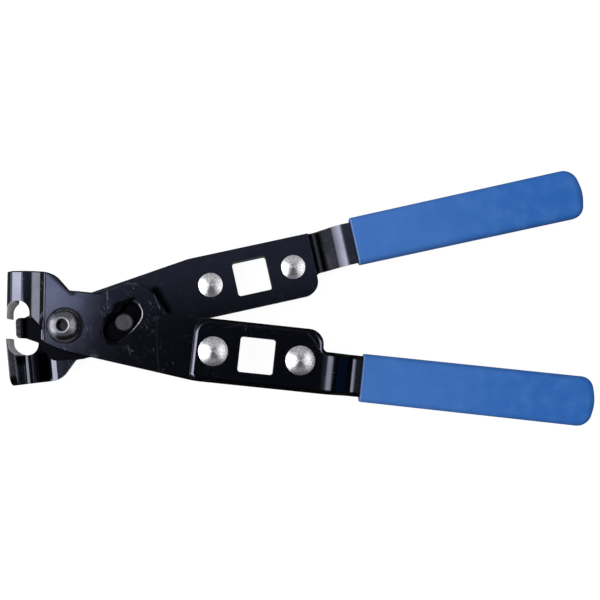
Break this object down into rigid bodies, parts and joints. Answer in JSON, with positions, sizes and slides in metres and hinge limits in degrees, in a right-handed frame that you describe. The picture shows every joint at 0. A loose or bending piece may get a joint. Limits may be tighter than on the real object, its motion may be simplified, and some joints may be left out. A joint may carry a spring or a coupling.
{
  "type": "ear clamp pliers",
  "caption": "Pliers with two stamped arms that cross at a pivot, notched jaws, a sliding ear presser, square drive holes in the handles and soft grips.",
  "frame": {"origin": "on the pivot axis, at the outer face of the pivot nut and the screw's flush end", "axes": "+Z along the pivot axis, towards the screw head; +X along the middle line, from the pivot to the grips"},
  "size_m": [0.2214, 0.099, 0.0215],
  "materials": {
    "blackened_steel": "glossy black",
    "dark_steel": "satin black",
    "bright_steel": "turned bright",
    "bare_steel": "ground",
    "soft_vinyl": "matte soft"
  },
  "bodies": {
    "pivot": {"pivot_screw": "dark_steel", "pivot_sleeve": "bare_steel", "pivot_washer": "bare_steel", "pivot_nut": "dark_steel"},
    "front_lever": {"front_arm": "blackened_steel", "lower_handle_bar": "blackened_steel", "lower_grip": "soft_vinyl", "lower_inner_rivet": "bright_steel", "lower_outer_rivet": "bright_steel"},
    "rear_lever": {"rear_arm": "blackened_steel", "upper_handle_bar": "blackened_steel", "upper_grip": "soft_vinyl", "upper_inner_rivet": "bright_steel", "upper_outer_rivet": "bright_steel"},
    "presser": {"ear_presser": "bare_steel", "guide_pin": "bright_steel"}
  },
  "joints": [
    {"name": "front_lever_turn", "type": "hinge", "parent": "pivot", "child": "front_lever", "pos_m": [0, 0, 0], "axis": [0, 0, 1], "range_deg": [-6.9, 8]},
    {"name": "rear_lever_turn", "type": "hinge", "parent": "pivot", "child": "rear_lever", "pos_m": [0, 0, 0], "axis": [0, 0, -1], "range_deg": [-6.9, 8]},
    {"name": "presser_slide", "type": "slide", "parent": "pivot", "child": "presser", "axis": [-1, 0, 0], "range_m": [-0.0026, 0.00302]}
  ],
  "couplings": [
    {"joint": "rear_lever_turn", "follows": "front_lever_turn", "ratio": 1},
    {"joint": "presser_slide", "follows": "front_lever_turn", "m_per_rad": 0.0215}
  ]
}
